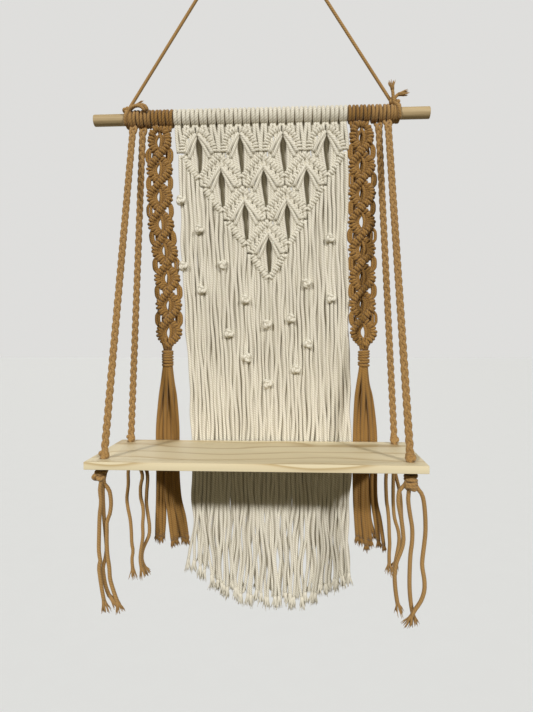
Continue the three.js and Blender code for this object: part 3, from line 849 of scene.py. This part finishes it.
def diamond_side(x, top, reach, rounded, outer):
    """The upper and lower bar of one side of a diamond, as lines of points."""
    drop = DIAMOND_SIDE - LOWER_APEX
    side = 1 if reach > 0 else -1
    if rounded:
        upper = [net(x + reach * share, top - arch(share)) for share in ARCH_SHARES]
    else:
        upper = [net(x + 0.8 * side, top - LOWER_APEX + 0.3)]
        upper += [net(x + out * reach, top - LOWER_APEX - down * drop + bulge) for out, down, bulge in SLANT]
        upper.append(net(x + reach, top - DIAMOND_SIDE + 1.5))
    # Inside the net the lower bar starts past the corner, so that it crosses its neighbour.
    start = reach if outer else side * (DIAMOND_HALF + BAR_CROSSING)
    lower = [net(x + start, top - DIAMOND_SIDE - 0.5, -0.7 * side),
             net(x + 0.52 * reach, top - 0.5 * (DIAMOND_SIDE + DIAMOND_BOTTOM) - 1.6),
             net(x + 0.05 * reach, top - DIAMOND_BOTTOM + 0.6)]
    return smooth_line(upper, 1.5), smooth_line(lower, 1.5)


# The cords inside half a diamond, measured from the slot's middle and the diamond's top. The first
# row's rounded bars are higher, and so are the rear cords that come from them.
FRONT_CORDS = [[(1.6, -8.5, -2.0), (6, -15.5, -3.8), (12, -24, -3.8), (16.5, -32, -2.5)],
               [(2.4, -12, -1.2), (5.6, -21, -2.6), (9.6, -30, -2.6), (13, -37.5, -1.5)]]
REAR_CORDS = [[(4.2, -14, 0), (5.9, -28, -0.6), (3.6, -54, 0)],
              [(8.8, -17, 0), (9.4, -34, -0.6), (7.2, -51, 0)],
              [(13.8, -23, 0), (13.2, -36, -0.4), (11.2, -47, 0)],
              [(18, -27, 0), (16.8, -36, 0), (14.8, -43, 0)]]
FIRST_ROW_RISE = 9


def slot_cords(x, top, side, lines, rise):
    """The cords on one side of a slot, whose upper ends are raised."""
    slot = x + SLOT_MIDDLE
    return [[net(slot + side * a, top + b + (0 if k else rise), c) for k, (a, b, c) in enumerate(line)]
            for line in lines]


def strands_to_bar(x, top, side, reach, row):
    """Strands that come down to an upper bar, from the dowel or the row above, and cords behind them."""
    rear, behind = [], []
    for k in range(STRANDS_PER_BAR):
        out = (k + 0.5) * STRAND_PITCH
        across = x + side * out
        share = out / DIAMOND_HALF
        if row:
            start = top + ROW_PITCH - DIAMOND_SIDE - share * (DIAMOND_BOTTOM - DIAMOND_SIDE)
            drop = top - LOWER_APEX - share * (DIAMOND_SIDE - LOWER_APEX)
            rear.append([net(across, start), net(across, 0.5 * (start + drop), -0.8), net(across, drop)])
            continue
        drop = top - arch(out / abs(reach))
        strand = round(across / STRAND_PITCH + STRANDS / 2 - 0.5)
        knot_pull = 0.9 if strand % 2 == 0 else -0.9
        corner_pull = side * 2.6 * share ** 1.5
        head = strand_top(strand) + knot_pull
        rear.append([Vector((head, NET_Y + 2.5, ROOT_Z + 2)),
                     Vector((head + 0.15 * corner_pull, NET_Y - 0.6, ROOT_Z - 4.5)),
                     net(across + 0.7 * corner_pull, 0.4 * ROOT_Z + 0.6 * drop, -1.0),
                     net(across + corner_pull, drop)])
        between = x + side * (out + STRAND_PITCH / 2)
        if abs(between) < PANEL_HALF_WIDTH - 1:
            behind.append([Vector((between, NET_Y + 5, ROOT_Z + 2)), net(between, 0.5 * (ROOT_Z + drop), 3.2),
                           net(between, drop - 3, 2.0)])
    return rear, behind


def white_net(shape):
    places, leads, rear, front, behind = [], [], [], [], []
    for row in range(ROWS):
        count = ROWS - row
        top = NET_TOP - row * ROW_PITCH
        for i in range(count):
            x = (2 * i - count + 1) * DIAMOND_HALF
            # Short bars behind tie the neighbours together where they meet, and cords close the gaps.
            meetings = [(0, DIAMOND_BOTTOM)] + [(0, MEETING_TOP)] * (row > 0)
            meetings += [(DIAMOND_HALF, DIAMOND_SIDE)] * (i < count - 1)
            for across, below in meetings:
                bar = [net(x + across + end, top - below, 2.8) for end in MEETING_BAR]
                places += wraps_on(bar, NET_HITCH)
            for across, below in meetings + [(0, 0)] * (row == 0):
                behind += [[net(x + across + aside, top - below + rise, 4.2) for rise in MEETING_RISE]
                           for aside in MEETING_CORDS]
            # Three cords pass well behind the slot, from the upper bars to the lower ones.
            behind += [[net(x + across, top - below, deep) for below, deep in SLOT_LINE]
                       for across in SLOT_CORDS]
            for side in (-1, 1):
                edge = i == (0 if side < 0 else count - 1)
                inset = EDGE_INSET if row and edge else CORNER_INSET if row else TOP_INSET
                reach = side * (DIAMOND_HALF - inset)
                bars = diamond_side(x, top, reach, row == 0, edge)
                for bar in bars:
                    places += wraps_on(bar, NET_HITCH, NET_LEAN, NET_SPREAD)
                leads += bars
                # A cord behind fills the groove between the lower bar and the next one below it.
                behind.append([point + Vector(GROOVE_SHIFT) for point in bars[1][::4]])
                front += slot_cords(x, top, side, FRONT_CORDS, 0)
                rear += slot_cords(x, top, side, REAR_CORDS, 0 if row else FIRST_ROW_RISE)
                if row and edge:
                    corner = top - DIAMOND_SIDE
                    behind += [[net(x + side * (DIAMOND_HALF + a), corner + rise, deep)
                                for rise, deep in OUTER_LINE] for a in OUTER_CORDS]
                more_rear, more_behind = strands_to_bar(x, top, side, reach, row)
                rear += more_rear
                behind += more_behind
    smooth = lambda lines, step: [smooth_line(line, step) for line in lines]
    return [copies("hitches", shape, places), cords("leads", leads), cords("rear_cords", smooth(rear, 3)),
            cords("front_cords", smooth(front, 3)), cords("behind", smooth(behind, 4))]


def fringe_line(where, last, lock, turn, sway):
    """One hanging strand, from the net's hem to its tip, that wanders and is drawn into a lock."""
    first = hem(where(0).x) + HEM_OVERLAP
    line = []
    steps = ceil((first - last) / 6)
    for k in range(steps + 1):
        z = first + (last - first) * k / steps
        spot = where(z)
        free = ease_in(-z, 700, 850)
        held = ease_in(-z, 300, 380)
        spot.x += sway * held * (0.85 * sin(turn + z / 17) + 0.45 * sin(2.3 * turn + z / 8.5))
        spot.x += free * (1.9 * sin(2.3 * turn + z / 13) + 0.3 * (lock - spot.x))
        spot.y += held * 0.9 * sin(1.7 * turn + z / 21)
        line.append(spot)
    return line


def nearest(x, places):
    return min(places, key=lambda place: abs(place - x))


def white_fringe():
    front, rear = [], []
    for i in range(STRANDS):
        where = lambda z: strand_at(i, z) + Vector((0, FRONT_DEPTHS[i % 2], 0))
        last = tip(strand_at(i, FRINGE_LOWEST).x) + FRONT_RISE + vary(*FRONT_SPREAD)
        lock = nearest(strand_at(i, last).x, LOCKS)
        line = fringe_line(where, last, lock, vary(0, 2 * pi), 1.0)
        # The strands at the left edge hang out a little at their ends.
        for spot in line:
            spot.x -= max(0, 4 - i) * 3.2 * ease_in(-spot.z, 750, 840)
        front.append(line)
    # Cords that come from the backs of the knots hang behind and close the gaps.
    rear_locks = [x + REAR_LOCK_SHIFT for x in LOCKS]
    for i in range(STRANDS - 1):
        where = lambda z: strand_at(i + 0.5, z) + Vector((0, REAR_DEPTH, 0))
        last = tip(strand_at(i, FRINGE_LOWEST).x) + vary(*REAR_RISE)
        lock = nearest(strand_at(i, last).x, rear_locks)
        rear.append(fringe_line(where, last, lock, vary(0, 2 * pi), 0.4))
    slimmer = lambda t: 1.0 - 0.16 * ease_in(t, 0.74, 0.95)
    return [cords("front_strands", front, taper=slimmer), cords("rear_strands", rear, taper=slimmer),
            frayed("front_tufts", cut_ends(front, 3)), frayed("rear_tufts", cut_ends(rear, 3))]


def white_knots():
    made = []
    for x, z in KNOTS:
        spot = min((strand_at(i, z) for i in range(STRANDS)), key=lambda place: abs(place.x - x))
        front = spot + Vector((0, KNOT_DEPTH, 0))
        made.append(overhand(front, KNOT_RADIUS, KNOT_CORD, vary(0, pi), 0.95))
    return made


# Side bands

def band_middle(side, z):
    return at_height(BAND_LINES[side], z)[0]


def side_band(side, turn, hitch):
    middle = (-1 if side == "left" else 1) * (PANEL_HALF_WIDTH + SLEEVE_GAP + BAND_SLEEVE / 2)
    turns = copies("turns", turn, turn_places(middle, BAND_SLEEVE, BAND_CORDS, 0))
    knots, lines = [], []
    spot = lambda across, z, y=0.0: Vector((band_middle(side, z) + across, BAND_Y + y, z))

    def cord(top, corners, edge=1):
        corners = [spot(edge * across, top + rise, deep) for across, rise, deep in corners]
        lines.append(smooth_line(corners, 3))

    # Two bars swing from side to side and cross between the diamonds, one over the other.
    for start in (-1, 1):
        bar = []
        for step in range(BAND_DIAMONDS * BAR_STEPS + 1):
            turns_down = step / BAR_STEPS
            swing = sin(pi * turns_down)
            # The first ring is flat at the top, as wide as the turns above it.
            across = start * abs(swing) ** (0.32 if turns_down < 0.5 else 1.15) * (1 if swing >= 0 else -1)
            over = 1.5 * start * cos(pi * turns_down)
            bar.append(spot((FIRST_REACH if turns_down < 1 else BAND_REACH) * across,
                            BAND_TOP - turns_down * BAND_PITCH, over))
        knots += wraps_on(bar, BAND_HITCH, 0.2, 0.12)
        lines.append(even_steps(bar, 3))
    for k in range(BAND_DIAMONDS):
        top = BAND_TOP - k * BAND_PITCH
        if k % 4 != 3:
            cord(top, SLOT_BACK)
        cord(top, SLOT_FRONT)
        for edge in (-1, 1):
            for near, deep in SIDE_CORDS:
                far = near - 3.4
                cord(top, ((far, -8, deep), (near, -13.5, deep), (near, -19.5, deep), (far, -25, deep)), edge)
            # Behind some of the necks a cord closes the gap beside them.
            if k and (k % 3 == 1 or (side == "right" and edge < 0)):
                cord(top, NECK_BACK, edge)
            # The outermost cords bow past the neck between two diamonds.
            if k:
                for bow in BOWS:
                    bow += vary(-0.8, 0.8)
                    cord(top, ((10, 11, 0.8), (bow - 0.6, 5.5, 0.6), (bow, 0, 0.4), (bow - 0.7, -5.5, 0.6),
                               (9.5, -11, 0.8)), edge)
    for k in range(BAND_CORDS):
        x = (k - 2.5) * BAND_SLEEVE / BAND_CORDS
        lines.append(smooth_line([(middle + 0.95 * x, BAND_Y + 3, ROOT_Z + 1),
                                  (middle + 0.9 * x, BAND_Y, ROOT_Z - 2),
                                  (middle + 0.8 * x, BAND_Y + 0.6, BAND_TOP - 4)], 3))
    neck_top = BAND_TOP - BAND_DIAMONDS * BAND_PITCH
    centre = band_middle(side, GATHER_TOP)
    for k in range(NECK_CORDS):
        angle = 2 * pi * k / NECK_CORDS
        out = Vector((cos(angle), 0.7 * sin(angle), 0))
        lines.append(smooth_line([Vector((centre, BAND_Y, neck_top + 10)) + out * 5.5,
                                  Vector((centre, GATHER_Y - 0.5, neck_top + 1)) + out * 4.6,
                                  Vector((centre, GATHER_Y, GATHER_TOP + 0.4)) + out * 3.4], 3))
    return join("side_band_" + side, [turns, copies("hitches", hitch, knots), cords("band_cords", lines)])


def gathering(side, loop):
    centre = band_middle(side, GATHER_TOP)
    places = []
    for k in range(GATHER_LOOPS):
        z = GATHER_TOP - 2 - k * (GATHER_LENGTH - 4) / (GATHER_LOOPS - 1)
        places.append(round_line((centre, GATHER_Y, z), (0, 0, 1), vary(-0.1, 0.1),
                                 sway=vary(-0.1, 0.1)))
    return join("gathering_" + side, [copies("loops", loop, places)])


def tassel(side):
    centre = band_middle(side, GATHER_TOP)
    top = GATHER_TOP - SLEEVE_GAP
    bottom = top - GATHER_LENGTH - 4
    wave = lambda: vary(-0.9, 0.9)
    lines = []
    for layer in (0, 1):
        for k, (beside, tip_x, end) in enumerate(TASSELS[side]):
            if layer and k == 5:
                continue
            hang = beside + (2.5 * layer + vary(-0.7, 0.7))
            root = (k - 2.5 + 0.5 * layer) * 1.5
            depth = (2.4 if k % 2 else -2.4) * (1 - 0.5 * layer) + 1.8 * layer
            y = FRINGE_Y + (1.8 * layer + (0.8 if k % 2 else -0.8))
            lines.append(smooth_line([
                (centre + 0.7 * root, GATHER_Y + 0.9 * depth, top),
                (centre + 0.8 * root, GATHER_Y + depth, bottom + 8),
                (centre + 1.6 * root + wave(), GATHER_Y + 1.2 * depth, bottom - 16),
                (centre + 0.45 * (beside - centre) + 0.9 * root + wave(), GATHER_Y + 2 + depth,
                 BOARD_TOP_Z + 52),
                (hang, y - 1, BOARD_TOP_Z + 12),
                *((hang + share * (tip_x - beside) + wave(), y, BOARD_TOP_Z - down)
                  for share, down in ((0, 30), (0.2, 72), (0.6, 98))),
                (tip_x + layer * vary(0, 5), y, end + 8 + layer * vary(-2, 10))], 5))
    parts = [cords("tassel_cords", lines), frayed("tassel_ends", cut_ends(lines))]
    return join("tassel_cords_" + side, parts)


# Braided ropes

def braid(start, end, period=28.0, wide=2.35, deep=1.5):
    """The three cords of a plait between two points."""
    start, end = Vector(start), Vector(end)
    axis = (end - start).normalized()
    across = Vector((1, 0, 0)) - axis * axis.x
    across.normalize()
    depth = axis.cross(across)
    length = (end - start).length
    steps = round(length / period * 12)
    lines = []
    for strand in range(3):
        lag = 2 * pi * strand / 3
        line = []
        for k in range(steps + 1):
            turn = 2 * pi * k * (length / period) / steps + lag
            # It comes out from under the dowel, wide and flat, and then closes up.
            out = ease_in(k, 0, 5)
            loose = 1.75 - 0.75 * ease_in(k, 0, 7)
            spot = start.lerp(end, k / steps) + Vector((0, 3.5 * (1 - out), 0))
            line.append(spot + across * wide * loose * sin(turn)
                        + depth * deep * (0.55 + 0.45 * out) * sin(2 * turn))
        lines.append(line)
    return lines


def rope(name, side, front, top, tails, turn, collar):
    inner = PANEL_HALF_WIDTH + BAND_SLEEVE + 2 * SLEEVE_GAP + (ROPE_SLEEVE + SLEEVE_GAP if front else 0)
    middle = side * (inner + ROPE_SLEEVE / 2)
    places = turn_places(middle, ROPE_SLEEVE, 3, 0 if front == (side < 0) else 1)
    hole = Vector((BOARD_X + side * HOLE_X, HOLE_FRONT_Y if front else HOLE_REAR_Y, BOARD_TOP_Z))
    upper = hole + Vector((0, 0, 4.4 if front else 5.2))
    lower = hole - Vector((0, 0, BOARD_THICKNESS + 5.4))
    plaits = braid((top[0], top[1], ROOT_Z - 0.5), upper)
    course = ((upper, 2, 1), (hole, 2.2, 0), (hole, 2.2, -BOARD_THICKNESS), (lower, 2, 0))
    through = [[point + Vector((wide * cos(a), wide * sin(a), rise)) for point, wide, rise in course]
               for a in (0.4, 2.5, 4.6)]
    size = 6.4 if front else 6.0
    aside, below, heights = BOARD_KNOTS[name]
    collars = [round_line(lower + Vector(aside) + Vector((0, 0, z)), (0, 0, 1), lean, sway=-lean)
               for z, lean in zip(heights, COLLAR_LEANS)]
    parts = [copies("turns", turn, places), cords("plaits", plaits), cords("through", through),
             overhand(upper, size, 2.2, 0.5 * side, 0.8),
             overhand(upper + Vector((0, 0, -1.5)), size - 0.6, 2.2, 2.0 * side, 0.8),
             overhand(lower + Vector(below), 7.5, 2.3, 1.1 * side, 0.8),
             copies("collars", collar, collars)]
    lines = []
    for k, tail in enumerate(tails):
        away = Vector((1.8 * (k - 1), 1.2 * ((k % 2) - 0.5), -2))
        lines.append(smooth_line([lower + away * 0.6] + tail, 5))
    parts += [cords("tails", lines), frayed("tail_ends", cut_ends(lines))]
    return join(name.replace("rope", "braided_rope"), parts)


# Hanger

def hanging_cord(tie):
    bend = [radians(turn) for turn in range(-70, 71, 14)]
    arc = [Vector((6.4 * sin(a), 0.0, -8.4 + 6.2 * cos(a))) for a in bend]
    left = Vector((-160.5, DOWEL_Y - 4, DOWEL_Z + 9.5))
    right = Vector((156.5, DOWEL_Y - 4, DOWEL_Z + 11))
    line = even_steps([left, *arc, right], 3.0)
    parts = [cords("hanger_line", [line])]
    places, loose = [], []
    inner = PANEL_HALF_WIDTH + BAND_SLEEVE + 2 * ROPE_SLEEVE + 4 * SLEEVE_GAP
    for side, foot in ((-1, left), (1, right)):
        middle = side * (inner + TIE_SLEEVE / 2) + (4.2 if side < 0 else -1.6)
        for k, lean in ((-1, 0.05), (0, -0.03), (1, 0.07)):
            places.append(Matrix.Translation(Vector((middle + k * 2.5, DOWEL_Y, DOWEL_Z)) * MM)
                          @ Matrix.Rotation(lean * side, 4, "Y") @ Matrix.Rotation(pi / 2, 4, "Y")
                          @ Matrix.Diagonal((1.05, 1.05, 1, 1)))
        # A cord slants over the turns at the front and goes up into the knot.
        loose.append(smooth_line([(middle + 3.2 * side, DOWEL_Y - 7.5, DOWEL_Z - 9),
                                  (middle + 2 * side, DOWEL_Y - 12.0, DOWEL_Z - 1),
                                  (middle - 0.5 * side, DOWEL_Y - 10, DOWEL_Z + 7), tuple(foot)], 3))
        knot_y, knot_z = (DOWEL_Y - 9, DOWEL_Z + 7.8) if side < 0 else (DOWEL_Y - 5, DOWEL_Z + 12.4)
        parts.append(overhand((foot.x + 0.4 * side, knot_y, knot_z), 5.0, 1.9, 0.7 * side, 0.9))
        parts.append(overhand((middle, knot_y + 1, knot_z - 1), 4.6, 1.8, 1.9 * side, 0.8))
    loose += [smooth_line(line, 3) for line in TIE_LOOPS]
    ends = [smooth_line(end, 3) for end in TIE_ENDS]
    parts += [copies("ties", tie, places), cords("loose", loose), cords("tie_ends", ends),
              frayed("tie_tips", cut_ends(ends))]
    return join("hanger_cord", parts)


# The whole shelf

set_camera()
set_lights()
bpy.ops.mesh.primitive_plane_add(size=FLOOR_SIZE, location=(0, 0, FLOOR_Z))
ground = bpy.context.object
ground.name = "floor"
ground.data.materials.append(floor_finish())
ground.visible_diffuse = False

# The second colour of each cotton is the painted shade in its ply grooves, deep and warm like light bounced
# between cords.
white = cord_finish("white_cotton", shade(246, 242, 230), shade(138, 126, 95), 0.44, 0.0004, 0.7)
tan = cord_finish("tan_cotton", shade(186, 149, 94), shade(94, 58, 18), 0.36, 0.0003)
deep_tan = cord_finish("deep_tan_cotton", shade(174, 134, 73), shade(80, 46, 10), 0.5, 0.0004)

shapes = {name: wrap_shape(name, *sizes) for name, sizes in TURNS.items()}
tan_turn = shapes["tan_turn"]

dress(make_dowel(), dowel_finish(), "dowel_wood", "dowel")
dress(make_board(), board_finish(), "board_wood", "board")
dress(join("panel_wraps", white_wraps(shapes["wide_turn"])), white, "white_cord", "panel")
dress(join("panel_net", white_net(shapes["white_hitch"])), white, "white_cord", "panel")
dress(join("panel_fringe", white_fringe() + white_knots()), white, "white_cord", "panel")
for side in ("left", "right"):
    dress(side_band(side, tan_turn, shapes["tan_hitch"]), deep_tan, "tan_cord", "band_" + side)
    dress(gathering(side, shapes["loop"]), deep_tan, "tan_cord", "gathering_wrap_" + side)
    dress(tassel(side), deep_tan, "tan_cord", "tassel_" + side)
for name, (side, front, top, tails) in ROPES.items():
    dress(rope(name, side, front, top, tails, tan_turn, shapes["collar"]), tan, "tan_cord", name)
dress(hanging_cord(tan_turn), tan, "tan_cord", "hanger")

for shape in shapes.values():
    bpy.data.objects.remove(shape)
bpy.ops.object.select_all(action="DESELECT")
